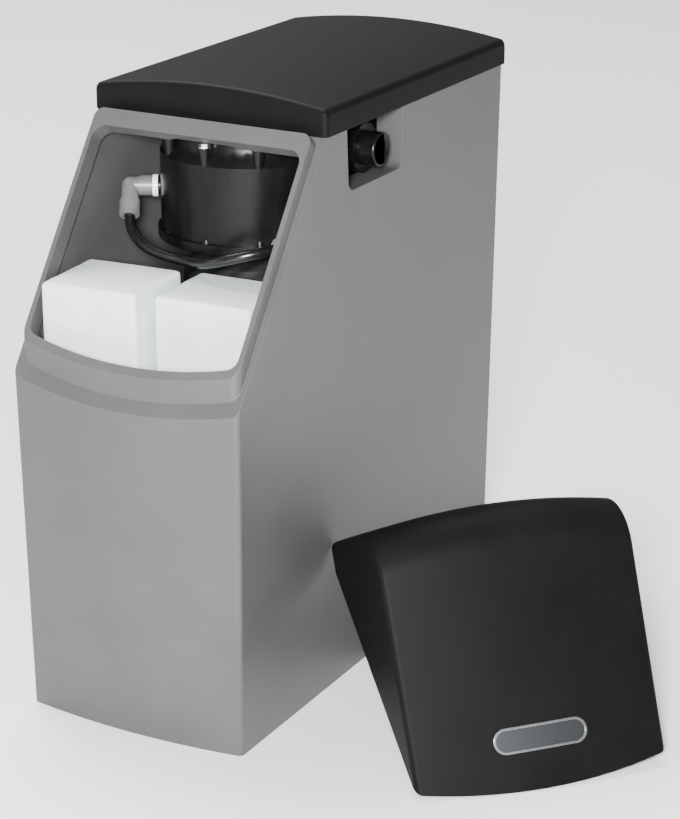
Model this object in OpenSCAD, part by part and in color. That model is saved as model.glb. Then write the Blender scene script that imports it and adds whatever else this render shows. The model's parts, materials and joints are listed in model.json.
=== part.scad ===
// Block-salt water softener: moulded cabinet with a sloped loading hatch, two resin
// vessels under a stacked control valve, a brine well with its float, and salt blocks.
// Millimetres, +Z up, front towards -Y, origin in the middle of the cabinet's base.

/* [Cabinet] */
// Outside width at the rim
cab_w = 230; // [226:1:250]
// Outside depth at the rim
cab_d = 492; // [486:1:520]
// Height of the rim
cab_h = 517; // [513:1:530]
// Draft of the walls in degrees
draft = 0.6; // [0.3:0.1:0.8]
// Wall thickness
wall = 4; // [3:0.5:4.5]
// How far the front bows out in plan
front_bow = 9; // [6:1:12]
// Radius of the upright edges
edge_r = 5; // [3:0.5:7]
// Height of the sloped face below the rim
slope_rise = 203; // [195:1:210]
// Set-back of the sloped face at the rim
slope_set = 146; // [140:1:150]

/* [Loading collar] */
// Shoulder beside the collar
shoulder_side = 5.4; // [4.5:0.1:7]
// Shoulder in front of the collar
shoulder_front = 8.5; // [7:0.5:10]
// Rise of the collar above the slope
collar_rise = 12; // [8:1:14]
// Wall of the collar
collar_t = 4.5; // [3.5:0.5:6]
// Width of the cross bar at the top
bar_w = 16; // [12:1:20]
// Gap from the top of the cross bar to the end of the slope
bar_gap = 2.8; // [2.4:0.1:4]
// Corner radius of the opening
opening_r = 12; // [8:1:16]

/* [Inlet recess] */
// Depth of the rim above the pipe ports
port_drop = 33; // [32:0.5:35]
// Distance of the pipe ports behind the middle
port_y = 5; // [0:1:8]
// Pocket length ahead of the port
pocket_fore = 64; // [50:1:68]
// Pocket length behind the port
pocket_aft = 34; // [30:1:44]
// Pocket depth below the port
pocket_below = 23; // [23:1:28]
// How far the pocket reaches into the cabinet
pocket_deep = 26; // [24:1:28]
// Forward lean of the pocket's front edge
pocket_lean = 6; // [0:1:10]
// Corner radius of the pockets
pocket_r = 9; // [6:1:12]

/* [Top lid] */
// Height of the lid's edge
lid_edge = 23; // [18:1:28]
// Rise of the crown across the lid and the cover
crown = 10.5; // [6:0.5:14]
// Overhang of the lid round the cabinet
lid_over = 2.3; // [1:0.1:4]
// Thickness of the lid's top
lid_t = 3; // [2.5:0.5:4]
// Width of the land that sits on the rim
lid_land = 8; // [7.5:0.5:9]
// Radius of the lid's and cover's edges
lid_r = 5; // [3:0.5:6]
// Depth of the skirt that locates the lid
skirt_h = 9; // [5:1:12]

/* [Hatch cover] */
// Wall of the cover
cover_t = 3.5; // [3:0.5:4.5]
// Radius between the cover's front and roof
cover_top_r = 42; // [30:1:50]
// Flat land on the cover's lower edge
cover_toe = 3; // [2:0.5:5]
// Turn of the loose cover on the floor
cover_yaw = 45; // [40:1:52]
// Lean of the loose cover towards the cabinet
cover_lean = 26.5; // [22:0.5:30]
// Sideways roll of the loose cover
cover_roll = 2; // [0:0.5:3]
// Front position of the loose cover
cover_y = 156; // [150:1:200]
// Width of the bare badge plate
badge_w = 84; // [60:1:100]
// Height of the bare badge plate
badge_h = 22; // [16:1:28]
// Height of the badge plate above the cover's toe
badge_up = 47; // [35:1:60]

/* [Salt] */
// Room across the cabinet that each stack leaves free
salt_side = 22; // [22:0.5:30]
// Room from front to back that a stack leaves free
salt_room = 131; // [131:1:140]
// Drop of the left stack's top below the rim
salt_drop = 125; // [125:1:150]
// Radius of a block's worn edges
salt_r = 4; // [3:0.5:8]
// Height lost by the right-hand stack
salt_worn = 7; // [2:1:20]

/* [Valve] */
// Room between the valve stack and the side walls
valve_side = 34; // [33:0.5:36]
// Distance of the valve ahead of the middle
valve_fore = 31; // [29:0.5:32]
// Drop of the valve's underside below the rim
valve_drop = 113; // [111:1:115]
// Height of the base section
base_h = 32; // [31:1:36]
// Height of the middle section
ring_h = 29; // [28:1:32]
// Height of the cap section
cap_h = 36; // [34:0.5:38]
// Number of clamping bolts
bolts = 10; // [8:1:12]
// Teeth on the control disc
disc_teeth = 64; // [48:16:64]
// Teeth on the meter pinion
pinion_teeth = 16; // [16:1:18]
// Room between the meter turbine and the valve's wall
turbine_room = 4; // [2:0.5:8]
// Inside radius of the pipe ports
port_bore = 11; // [8:0.5:11]
// Outside radius of the pipe ports
port_r = 15.5; // [15:0.25:17]

/* [Vessels] */
// Radius of the front vessel
front_r = 62; // [55:1:63]
// Radius of the rear vessel
rear_r = 70; // [60:1:72]
// Distance of the rear vessel behind the middle
rear_y = 135; // [132:1:140]
// Wall of the vessels
vessel_t = 4; // [3:0.5:5]

/* [Brine gear] */
// Outside radius of the brine well
well_r = 20; // [18:0.5:20]
// Drop of the brine well's top below the rim
well_drop = 129; // [129:1:145]
// Radius of the float
float_r = 14; // [11:0.5:15]
// Height of the float
float_h = 45; // [35:1:60]
// Travel of the float
float_travel = 60; // [40:1:80]
// Outside radius of the push-fit elbows
elbow_r = 9.3; // [8.8:0.1:9.6]
// Outside radius of the brine tube
tube_r = 4.75; // [4:0.25:4.75]

/* [Hidden] */
$fn = 64;

// Clearances shared by every fit
fit = 0.05;
slip = 0.3;
lie = 0.3;

// Colours
body_grey = "#8f9092";
lid_black = "#2e2e2f";
valve_black = "#1b1b1c";
salt_white = "#e3ebe8";
fitting_grey = "#c3c5c6";
steel = "#c8c9cb";
resin_amber = "#b5792f";
pipe_white = "#e8e8e4";

// Cabinet surfaces at a height
slip_k = tan(draft);
function half_w(z) = cab_w / 2 - slip_k * (cab_h - z);
function back_y(z) = cab_d / 2 - slip_k * (cab_h - z);
function bow_radius(w) = (w * w + front_bow * front_bow) / (2 * front_bow);
floor_t = 4;
bow_fn = 600;

// Slope of the loading face
slope_z = cab_h - slope_rise;
slope_low_y = -back_y(slope_z);
slope_top_y = slope_set - cab_d / 2;
slope_run = slope_top_y - slope_low_y;
slope_tan = slope_run / slope_rise;
slope_a = atan(slope_tan);
slope_len = slope_rise / cos(slope_a);

// Collar and opening, in the slope's own plane
collar_z = slope_z + slope_rise / 2;
collar_u = half_w(collar_z) - shoulder_side;
collar_top = slope_len - bar_gap;
collar_front_y = -back_y(collar_z) - front_bow + shoulder_front;
collar_low = (collar_front_y - slope_low_y + collar_rise * cos(slope_a)) / sin(slope_a);
collar_corner = 9;
open_u = collar_u - collar_t;
open_top = collar_top - bar_w;
open_low = collar_low + collar_t / sin(slope_a);
open_sag = front_bow / sin(slope_a) * pow(open_u / collar_u, 2);
open_radius = (open_u * open_u + open_sag * open_sag) / (2 * open_sag);

// Ports and the inlet recess
port_z = cab_h - port_drop;
pocket_x = half_w(port_z) - pocket_deep;
port_out = half_w(port_z) - 2.5;
port_past_wall = 20;
port_flange_t = 4;
port_nut_r = pocket_below - 0.5;
port_nut_t = 10;
port_spigot_r = 14;
port_spigot_l = 6;

// Valve stack
valve_y = -valve_fore;
valve_r = cab_w / 2 - valve_side;
valve_z = cab_h - valve_drop;
ring_z = valve_z + base_h;
cap_z = ring_z + ring_h;
valve_top = cap_z + cap_h;
valve_in_r = valve_r - 14;
cap_roof = 7;
bolt_r = 2.5;
bolt_hole_r = bolt_r + slip;
bolt_circle = valve_r - 3.5;
boss_r = 6;
bolt_head_r = 5;
bolt_head_h = 4;
boss_top = valve_top - bolt_head_h;
seal_r = valve_in_r + 5;
seal_s = 1.5;
cap_boss_r = port_spigot_r + 2.5;
cap_boss_x = pocket_x - wall - 1;
neck_r = 40;
neck_h = 14;

// Meter gears
turbine_r = 13;
gear_m = 2 * (valve_in_r - turbine_r - turbine_room) / (disc_teeth + pinion_teeth);
disc_r = disc_teeth * gear_m / 2;
pinion_r = pinion_teeth * gear_m / 2;
gear_gap = disc_r + pinion_r;
gear_z = cap_z + 5;
gear_t = 8;
turbine_a = 30;
turbine_at = [gear_gap * cos(turbine_a), valve_y + gear_gap * sin(turbine_a)];
spindle_r = 3;
shaft_r = 6;
pivot_l = 3;

// Vessels
vessel_top = valve_z;
riser_r = 12;
riser_socket = 26;
rear_head_h = 36;
rear_head_r = 46;
transfer_x = 18;
transfer_r = 10;
transfer_z = valve_z + 18;
socket_l = 8;

// Brine gear
elbow_stem_r = 6;
brine_a = 61;
brine_z = ring_z + elbow_stem_r + 4;
elbow_corner = valve_r + 27;
elbow_at = [-elbow_corner * sin(brine_a), valve_y - elbow_corner * cos(brine_a), brine_z];
elbow_dip = 45;
elbow_leg = 30;
elbow_step = 1.4;
tube_bore = tube_r + slip;
collet_r = 6.8;
collet_l = 9;
well_inset = 33;
well_fore = 48;
well_at = [cab_w / 2 - well_inset, valve_y - well_fore];
well_h = cab_h - well_drop - floor_t;
well_elbow_z = valve_z + 12;
well_elbow_a = 70;
well_wall = 2;
cap_t = 6;
rod_r = 3;
stop_r = 7;
stop_t = 4;
cage_h = 36;
ball_r = 5;

// Route of the brine tube from the valve's elbow to the well's elbow
tube_sides = 12;
TUBE = [[-77, -110.5, 414], [-66, -116.5, 407], [-53, -119.5, 402], [-39.5, -121, 399.5],
    [-25.5, -121.5, 398], [-11.5, -124, 398], [2, -128.5, 399], [15, -134, 402],
    [28, -137, 406], [41.5, -135.5, 410], [54, -130, 413.5], [64.5, -120.5, 415.5]];
tube_in = 14;
elbow_dir = [cos(brine_a) * cos(elbow_dip), -sin(brine_a) * cos(elbow_dip), -sin(elbow_dip)];
well_dir = [-cos(well_elbow_a), -sin(well_elbow_a), 0];
well_corner = [well_at[0], well_at[1], well_elbow_z];
ROUTE = concat([elbow_at + tube_in * elbow_dir, elbow_at + (elbow_leg + 1) * elbow_dir], TUBE,
    [well_corner + (elbow_leg + 1) * well_dir, well_corner + tube_in * well_dir]);

// Salt
platform_z = 14;
platform_t = 4;
salt_floor = platform_z + platform_t;
left_turn = 4;
right_turn = 3;
salt_w = cab_w / 2 - salt_side;
salt_d = cab_d / 2 - valve_fore - salt_room;
salt_h = (cab_h - salt_drop - salt_floor) / 2;
left_inset = 17.1;
left_setback = 25;
left_front = [left_inset - cab_w / 2, left_setback - cab_d / 2];
right_past_middle = 3.4;
right_setback = 55.7;
right_front = [-right_past_middle, right_setback - cab_d / 2];
salt_gap = 5;
lower_shift = 6;
lower_setback = 32;
lower_front = lower_setback - cab_d / 2;

// Overflow
overflow_x = 62;
overflow_drop = 145;
overflow_z = cab_h - overflow_drop;
overflow_r = 9;
pad_t = 1.5;

// Part of a plan outline with a bowed front and rounded corners
module plan(z, side_in, front_in, r) {
    w = half_w(z) - side_in;
    rear = back_y(z) - side_in;
    front = -back_y(z) + front_in - front_bow;
    curve = bow_radius(w);
    offset(r = r)
        offset(delta = -r)
            intersection() {
                translate([-w, front])
                    square([2 * w, rear - front]);
                translate([0, front + curve])
                    circle(curve, $fn = bow_fn);
            }
}

// Solid between two heights with the cabinet's draft
module drafted(inset, z0, z1, r) {
    grow_x = (half_w(z1) - inset) / (half_w(z0) - inset);
    grow_y = (back_y(z1) - inset) / (back_y(z0) - inset);
    translate([0, 0, z0])
        linear_extrude(height = z1 - z0, scale = [grow_x, grow_y], slices = 1)
            plan(z0, inset, inset, r);
}

// Slope frame: X across, Y up the slope, Z outwards
module on_slope() {
    translate([0, slope_low_y, slope_z])
        rotate([90 - slope_a, 0, 0])
            children();
}

module above_slope(h) {
    on_slope()
        translate([-cab_w, -2 * slope_len, h])
            cube([2 * cab_w, 6 * slope_len, 3 * slope_len]);
}

module opening_shape() {
    offset(r = opening_r)
        offset(delta = -opening_r)
            intersection() {
                translate([-open_u, open_low])
                    square([2 * open_u, open_top - open_low]);
                translate([0, open_low + open_radius])
                    circle(open_radius, $fn = bow_fn);
            }
}

module collar_shape() {
    offset(r = collar_corner)
        offset(delta = -collar_corner)
            translate([-collar_u, -slope_len])
                square([2 * collar_u, slope_len + collar_top]);
}

module collar() {
    intersection() {
        on_slope()
            translate([0, 0, -1])
                linear_extrude(collar_rise + 1)
                    collar_shape();
        translate([0, 0, slope_z - 2 * front_bow])
            linear_extrude(cab_h)
                plan(collar_z, shoulder_side, shoulder_front, collar_corner);
    }
}

// Outline of the inlet recess seen from the side, grown by a wall
module pocket_shape(grow) {
    low = port_z - pocket_below;
    offset(delta = grow)
        offset(r = pocket_r)
            offset(delta = -pocket_r)
                polygon([[port_y - pocket_fore, low], [port_y + pocket_aft, low],
                    [port_y + pocket_aft, cab_h + 20],
                    [port_y - pocket_fore - pocket_lean, cab_h + 20]]);
}

module pocket_prism(grow, x0, x1) {
    translate([x0, 0, 0])
        rotate([90, 0, 90])
            linear_extrude(x1 - x0)
                pocket_shape(grow);
}

module both_sides() {
    for (side = [0, 1])
        mirror([side, 0, 0])
            children();
}

module along_x(x, y, z) {
    translate([x, y, z])
        rotate([0, 90, 0])
            children();
}

module along_y(x, y, z) {
    translate([x, y, z])
        rotate([-90, 0, 0])
            children();
}

module tube(r, bore, h) {
    difference() {
        cylinder(r = r, h = h);
        translate([0, 0, -1])
            cylinder(r = bore, h = h + 2);
    }
}

module o_ring(r, s) {
    rotate_extrude()
        translate([r, 0])
            circle(s, $fn = 24);
}

// Room for the valve's front bolts behind the cross bar
module valve_relief() {
    room = 1;
    reach = bolt_circle + boss_r + room;
    intersection() {
        at_valve(valve_z)
            cylinder(r = reach, h = valve_top + room - valve_z);
        translate([-reach, valve_y - 2 * reach, valve_z])
            cube([2 * reach, 1.5 * reach, cab_h]);
    }
}

// One moulding: drafted walls, stepped-in collar round the loading hatch, recess for the inlet
module cabinet() {
    color(body_grey)
        difference() {
            union() {
                difference() {
                    drafted(0, 0, cab_h, edge_r);
                    above_slope(0);
                    difference() {
                        drafted(wall, floor_t, cab_h + 1, edge_r - 1);
                        above_slope(-wall);
                    }
                }
                collar();
                intersection() {
                    pocket_prism(wall, pocket_x, cab_w);
                    drafted(0, 0, cab_h, edge_r);
                }
                along_y(overflow_x, back_y(overflow_z) - wall - pad_t, overflow_z)
                    cylinder(r = overflow_r + 8, h = wall + 2 * pad_t);
            }
            on_slope()
                translate([0, 0, -3 * wall])
                    linear_extrude(collar_rise + 4 * wall)
                        opening_shape();
            valve_relief();
            pocket_prism(0, pocket_x - wall, cab_w);
            along_x(-cab_w, port_y, port_z)
                cylinder(r = port_r + 1, h = cab_w);
            along_y(overflow_x, 0, overflow_z)
                cylinder(r = overflow_r + slip, h = cab_d);
        }
}

// Lofted shells
// Stations across the width: [share of the inner half width, distance in from the side, inset]
edge_steps = 4;
inner_steps = 14;
function edge_station(side, i, r) =
    [side, r * (1 - sin(90 * i / edge_steps)), r * (1 - cos(90 * i / edge_steps))];
function stations(r) = concat(
    [for (i = [edge_steps : -1 : 1]) edge_station(-1, i, r)],
    [for (i = [0 : inner_steps]) [2 * i / inner_steps - 1, r, 0]],
    [for (i = [1 : edge_steps]) edge_station(1, i, r)]);

// Stitches equal rings of points into a closed skin with flat ends
function loft_faces(rings, n) = concat(
    [for (i = [0 : rings - 2]) for (j = [0 : n - 1])
        [i * n + j, i * n + (j + 1) % n, (i + 1) * n + j]],
    [for (i = [0 : rings - 2]) for (j = [0 : n - 1])
        [i * n + (j + 1) % n, (i + 1) * n + (j + 1) % n, (i + 1) * n + j]],
    [[for (j = [n - 1 : -1 : 0]) j]],
    [[for (j = [0 : n - 1]) (rings - 1) * n + j]]);

function flat_list(lists) = [for (part = lists) for (p = part) p];

// Lid outline in side view: bottom edge, rounded back and front top edges
round_steps = 5;
lid_front = slope_top_y - lid_over;
lid_back = cab_d / 2 + lid_over;
lid_top = cab_h + lid_edge;
function lid_profile(q, inset) =
    let (r = lid_r, top = lid_top + crown * q - inset, f = lid_front + inset, b = lid_back - inset)
    concat([[b, cab_h], [f, cab_h]],
        [for (i = [0 : round_steps]) let (a = 90 * i / round_steps)
            [f + r - r * cos(a), top - r + r * sin(a)]],
        [for (i = [round_steps : -1 : 0]) let (a = 90 * i / round_steps)
            [b - r + r * cos(a), top - r + r * sin(a)]]);

lid_half = cab_w / 2 + lid_over;
function station_x(s, half, r) = abs(s[0]) == 1 ? s[0] * (half - s[1]) : s[0] * (half - r);
function bulge(s, half, r) = 1 - pow(station_x(s, half, r) / half, 2);
lid_rings = [for (s = stations(lid_r))
    [for (p = lid_profile(bulge(s, lid_half, lid_r), s[2]))
        [station_x(s, lid_half, lid_r), p[0], p[1]]]];

module crown_roll(top, half, y0, y1) {
    radius = (half * half + crown * crown) / (2 * crown);
    along_y(0, y0, top + crown - radius)
        cylinder(r = radius, h = y1 - y0, $fn = bow_fn);
}

module lid_hollow() {
    half = lid_half - lid_land;
    intersection() {
        translate([-half, lid_front + lid_land, cab_h - 1])
            cube([2 * half, lid_back - lid_front - 2 * lid_land, 2 * lid_edge]);
        crown_roll(lid_top - lid_t, lid_half, lid_front, lid_back);
    }
}

// Skirt inside the rim, behind the pockets, that keeps the lid in place
module lid_skirt() {
    half = half_w(cab_h - skirt_h) - wall - skirt_gap;
    rear = back_y(cab_h - skirt_h) - wall - skirt_gap;
    fore = port_y + pocket_aft + wall + 6;
    skirt_t = 3;
    skirt_gap = 2;
    skirt_up = lid_land;
    difference() {
        translate([-half, fore, cab_h - skirt_h])
            cube([2 * half, rear - fore, skirt_h + skirt_up]);
        translate([skirt_t - half, fore - 1, cab_h - skirt_h - 1])
            cube([2 * half - 2 * skirt_t, rear - fore - skirt_t + 1, skirt_h + skirt_up + 2]);
    }
}

module top_lid() {
    color(lid_black)
        union() {
            difference() {
                polyhedron(flat_list(lid_rings), loft_faces(len(lid_rings), len(lid_rings[0])));
                lid_hollow();
            }
            lid_skirt();
        }
}

// Hatch cover, as it sits on the slope: side view of one station
cover_back = lid_front - 1;
cover_steps = 8;
function front_at(z, q) = -back_y(z) - front_bow * q;
function slope_at(z, off) = slope_low_y + (z - slope_z) * slope_tan - off / cos(slope_a);
function toe_z(q, inset, off) =
    (front_at(0, q) + inset - slope_at(0, off)) / (slope_tan + slip_k);
function cover_profile(q, inset, skin, off, toe) =
    let (roof = lid_top + crown * q - inset - skin, r = cover_top_r - inset - skin)
    let (zf = roof - r, yf = front_at(zf, q) + inset + skin)
    let (low = toe_z(q, inset + skin, off) + toe, back = cover_back - skin)
    concat([[front_at(low, q) + inset + skin, low]],
        [for (i = [0 : cover_steps]) let (a = 90 * i / cover_steps)
            [yf + r - r * cos(a), zf + r * sin(a)]],
        [[back, roof], [back, slope_z + (back - slope_at(slope_z, off)) / slope_tan],
            [slope_at(low, off), low]]);

function cover_rings(skin, off, toe) =
    let (r = lid_r, mid = half_w(collar_z))
    [for (s = stations(r))
        [for (p = cover_profile(bulge(s, mid, r), s[2], skin, off, toe))
            [station_x(s, half_w(p[1]) - skin, r), p[0], p[1]]]];
cover_outer = cover_rings(0, slip, cover_toe);
cover_inner = cover_rings(cover_t, -4 * cover_t, 0);

// Pose of the loose cover: on its toe on the floor, its rear corner by the cabinet's wall
function turn_x(p, a) = [p[0], p[1] * cos(a) - p[2] * sin(a), p[1] * sin(a) + p[2] * cos(a)];
function turn_y(p, a) = [p[0] * cos(a) + p[2] * sin(a), p[1], p[2] * cos(a) - p[0] * sin(a)];
function turn_z(p, a) = [p[0] * cos(a) - p[1] * sin(a), p[0] * sin(a) + p[1] * cos(a), p[2]];
function tip_cover(p) = turn_z(turn_x(turn_y(p - [0, slope_low_y, slope_z], -cover_roll),
    -cover_lean), cover_yaw);
cover_points = [for (p = flat_list(cover_outer)) tip_cover(p)];
cover_lift = -min([for (p = cover_points) p[2]]);
cover_x = lie - min([for (p = cover_points) p[0] - half_w(p[2] + cover_lift)]);

module loose_cover() {
    translate([cover_x, -cover_y, cover_lift])
        rotate([0, 0, cover_yaw])
            rotate([-cover_lean, 0, 0])
                rotate([0, -cover_roll, 0])
                    translate([0, -slope_low_y, -slope_z])
                        children();
}

module cover_shell() {
    faces = loft_faces(len(cover_outer), len(cover_outer[0]));
    difference() {
        polyhedron(flat_list(cover_outer), faces);
        polyhedron(flat_list(cover_inner), faces);
    }
}

module hatch_cover() {
    color(lid_black)
        loose_cover()
            cover_shell();
}

// Bare pill plate that follows the bow of the cover's front
module pill(w, h) {
    union() {
        square([w - h, h], center = true);
        for (side = [-1, 1])
            translate([side * (w - h) / 2, 0])
                circle(h / 2);
    }
}

badge_t = 1.4;
badge_rim = 2;
module badge_layer(grow, t) {
    z = toe_z(1, 0, slip) + badge_up;
    w = half_w(collar_z);
    radius = bow_radius(w);
    intersection() {
        translate([0, front_at(z, 1) + 2 * front_bow, z])
            rotate([90, 0, 0])
                linear_extrude(4 * front_bow)
                    pill(badge_w + grow, badge_h + grow);
        translate([0, front_at(z, 1) + radius, z])
            rotate([draft, 0, 0])
                translate([0, 0, -badge_h])
                    tube(radius + t, radius + fit, 2 * badge_h);
    }
}

module badge_plate() {
    color(steel)
        loose_cover()
            difference() {
                badge_layer(0, badge_t);
                difference() {
                    badge_layer(-2 * badge_rim, 2 * badge_t);
                    badge_layer(-2 * badge_rim, badge_t / 2);
                }
            }
}

// Salt blocks: four rounded posts with a skin drawn over them
salt_steps = 5;
function salt_arc(h, top) = [for (i = [0 : salt_steps])
    let (a = top ? 90 * i / salt_steps : 90 * i / salt_steps - 90)
    [salt_r * cos(a), top ? h - salt_r + salt_r * sin(a) : salt_r + salt_r * sin(a)]];

module salt_post(h) {
    rotate_extrude($fn = 24)
        polygon(concat(salt_arc(h, false), salt_arc(h, true)));
}

module salt_block(h) {
    color(salt_white)
        hull()
            for (x = [salt_r, salt_w - salt_r], y = [salt_r, salt_d - salt_r])
                translate([x, y, 0])
                    salt_post(h);
}

module salt_block_upper_left() {
    translate([left_front[0], left_front[1], salt_floor + salt_h])
        rotate([0, 0, left_turn])
            salt_block(salt_h);
}

module salt_block_upper_right() {
    translate([right_front[0], right_front[1], salt_floor + salt_h - salt_worn])
        rotate([0, 0, right_turn])
            salt_block(salt_h);
}

module salt_block_lower_left() {
    translate([-salt_w - salt_gap / 2 - lower_shift, lower_front, salt_floor])
        salt_block(salt_h);
}

module salt_block_lower_right() {
    translate([salt_gap / 2 - lower_shift, lower_front, salt_floor])
        salt_block(salt_h - salt_worn);
}

// Perforated platform on four legs
platform_front = lower_front - 6;
platform_back = lower_front + salt_d + 6;
platform_half = salt_w + salt_gap / 2 + 3;
hole_pitch = 18;
hole_r = 5;
leg_r = 6;
module salt_platform() {
    depth = platform_back - platform_front;
    nx = floor((2 * platform_half - hole_pitch) / hole_pitch);
    ny = floor((depth - hole_pitch) / hole_pitch);
    color(lid_black)
        union() {
            difference() {
                translate([-platform_half, platform_front, platform_z])
                    cube([2 * platform_half, depth, platform_t]);
                for (i = [0 : nx], j = [0 : ny])
                    translate([(i - nx / 2) * hole_pitch,
                        platform_front + depth / 2 + (j - ny / 2) * hole_pitch, platform_z - 1])
                        cylinder(r = hole_r, h = platform_t + 2, $fn = 24);
            }
            for (x = [-1, 1], y = [platform_front + leg_r, platform_back - leg_r])
                translate([x * (platform_half - leg_r), y, floor_t])
                    cylinder(r = leg_r / 2 + 2, h = platform_z - floor_t);
        }
}

// Control valve: three stacked sections clamped by bolts round the rim
module at_valve(z) {
    translate([0, valve_y, z])
        children();
}

module round_valve(r) {
    for (i = [0 : bolts - 1])
        rotate([0, 0, i * 360 / bolts - 90])
            translate([r, 0, 0])
                children();
}

module bolt_holes(z, h) {
    at_valve(z - 1)
        round_valve(bolt_circle)
            cylinder(r = bolt_hole_r, h = h + 2);
}

module seal_groove(z) {
    at_valve(z)
        rotate_extrude()
            translate([seal_r - seal_s - fit, -seal_s - fit])
                square(2 * (seal_s + fit));
}

module towards_elbow(z) {
    translate([0, valve_y, z])
        rotate([0, 0, -90 - brine_a])
            rotate([0, 90, 0])
                children();
}

module valve_cap() {
    shoulder = 10;
    lean = 8;
    color(valve_black)
        difference() {
            union() {
                at_valve(cap_z)
                    rotate_extrude($fn = 128)
                        polygon([[0, 0], [valve_r, 0], [valve_r, cap_h - 2 * shoulder],
                            [valve_r - lean, cap_h - shoulder], [valve_r - shoulder, cap_h], [0, cap_h]]);
                at_valve(cap_z + 4)
                    round_valve(bolt_circle)
                        cylinder(r1 = 2, r2 = boss_r, h = boss_top - cap_z - 4);
                both_sides()
                    along_x(valve_in_r / 2, port_y, port_z)
                        cylinder(r = cap_boss_r, h = cap_boss_x - valve_in_r / 2);
            }
            at_valve(cap_z - 1)
                cylinder(r = valve_in_r, h = cap_h - cap_roof + 1);
            at_valve(cap_z)
                cylinder(r = shaft_r + fit, h = cap_h + 1);
            translate([turbine_at[0], turbine_at[1], cap_z])
                cylinder(r = spindle_r + fit, h = cap_h - cap_roof + pivot_l + slip);
            both_sides()
                along_x(valve_in_r / 2, port_y, port_z)
                    cylinder(r = port_bore - 3, h = cab_w);
            both_sides()
                along_x(cap_boss_x - port_spigot_l, port_y, port_z)
                    cylinder(r = port_spigot_r + fit, h = cab_w);
            bolt_holes(cap_z, cap_h);
            at_valve(boss_top)
                round_valve(bolt_circle)
                    cylinder(r = bolt_head_r + slip, h = cap_h);
            seal_groove(cap_z);
        }
}

module valve_ring() {
    plate = 8;
    color(valve_black)
        difference() {
            union() {
                at_valve(ring_z)
                    cylinder(r = valve_r, h = ring_h, $fn = 128);
                towards_elbow(brine_z)
                    cylinder(r = elbow_stem_r + 3, h = valve_r + 2);
            }
            at_valve(ring_z + plate)
                difference() {
                    cylinder(r = valve_in_r - 4, h = ring_h - 2 * plate);
                    translate([0, 0, -1])
                        cylinder(r = valve_in_r / 2, h = ring_h);
                }
            at_valve(cap_z - pivot_l)
                cylinder(r = shaft_r + fit, h = ring_h);
            translate([turbine_at[0], turbine_at[1], cap_z - pivot_l])
                cylinder(r = spindle_r + fit, h = ring_h);
            towards_elbow(brine_z)
                translate([0, 0, valve_r - 12])
                    cylinder(r = elbow_stem_r + fit, h = 30);
            bolt_holes(ring_z, ring_h);
            seal_groove(cap_z);
            seal_groove(ring_z);
        }
}

module transfer_sockets(y) {
    for (side = [-1, 1])
        along_y(side * transfer_x, y, transfer_z)
            children();
}

module valve_base() {
    foot = 8;
    color(valve_black)
        difference() {
            union() {
                at_valve(valve_z)
                    cylinder(r = valve_r, h = base_h, $fn = 128);
                at_valve(valve_z)
                    cylinder(r = valve_r + 3, h = foot, $fn = 128);
                at_valve(valve_z + foot - 1)
                    round_valve(bolt_circle)
                        cylinder(r1 = boss_r, r2 = 2, h = foot + 2);
                transfer_sockets(valve_y)
                    cylinder(r = transfer_r + 3, h = valve_r + 4);
            }
            at_valve(valve_z - 1)
                cylinder(r = neck_r + fit, h = neck_h + 1);
            at_valve(valve_z)
                cylinder(r = riser_r + 2, h = riser_socket);
            transfer_sockets(valve_y + valve_r + 4 - socket_l)
                cylinder(r = transfer_r + fit, h = 3 * socket_l);
            bolt_holes(valve_z, base_h);
            seal_groove(ring_z);
            translate([0, valve_y, drain_z])
                rotate([0, 0, drain_turn])
                    rotate([0, 90, 0])
                        translate([0, 0, valve_r - 9])
                            cylinder(r = drain_r + fit, h = 30);
        }
}

module valve_bolts() {
    color(steel)
        at_valve(valve_z)
            round_valve(bolt_circle) {
                cylinder(r = bolt_r, h = boss_top - valve_z + 1, $fn = 24);
                translate([0, 0, boss_top - valve_z])
                    cylinder(r = bolt_head_r, h = bolt_head_h, $fn = 6);
            }
}

module valve_seals() {
    color("#111111")
        for (z = [ring_z, cap_z])
            at_valve(z)
                o_ring(seal_r, seal_s);
}

// Meter gears: straight-flanked teeth with a little backlash
gear_add = 0.9;
gear_ded = 1.2;
gear_flank = 20;
gear_backlash = 0.1;
function gear_point(r, a) = [r * cos(a), r * sin(a)];
module gear_shape(teeth) {
    pitch_r = teeth * gear_m / 2;
    half_a = 90 / teeth * (1 - gear_backlash);
    root = pitch_r - gear_ded * gear_m;
    tip = pitch_r + gear_add * gear_m;
    root_a = half_a + atan(tan(gear_flank) * gear_ded * gear_m / pitch_r);
    tip_a = half_a - atan(tan(gear_flank) * gear_add * gear_m / pitch_r);
    polygon([for (i = [0 : teeth - 1]) let (a = i * 360 / teeth)
        each [gear_point(root, a - root_a), gear_point(tip, a - tip_a),
            gear_point(tip, a + tip_a), gear_point(root, a + root_a)]]);
}

// Control disc: toothed rim, four metering windows and the shaft that carries the dial
module control_disc() {
    window_r = 9;
    color(pipe_white)
        difference() {
            union() {
                at_valve(gear_z)
                    rotate([0, 0, turbine_a])
                        linear_extrude(gear_t)
                            gear_shape(disc_teeth);
                at_valve(cap_z - pivot_l)
                    cylinder(r = shaft_r, h = valve_top - cap_z + pivot_l + slip + dial_socket);
            }
            for (i = [0 : 3])
                at_valve(gear_z - 1)
                    rotate([0, 0, 90 * i])
                        translate([0.55 * disc_r, 0, 0])
                            cylinder(r = window_r, h = gear_t + 2);
        }
}

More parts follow.
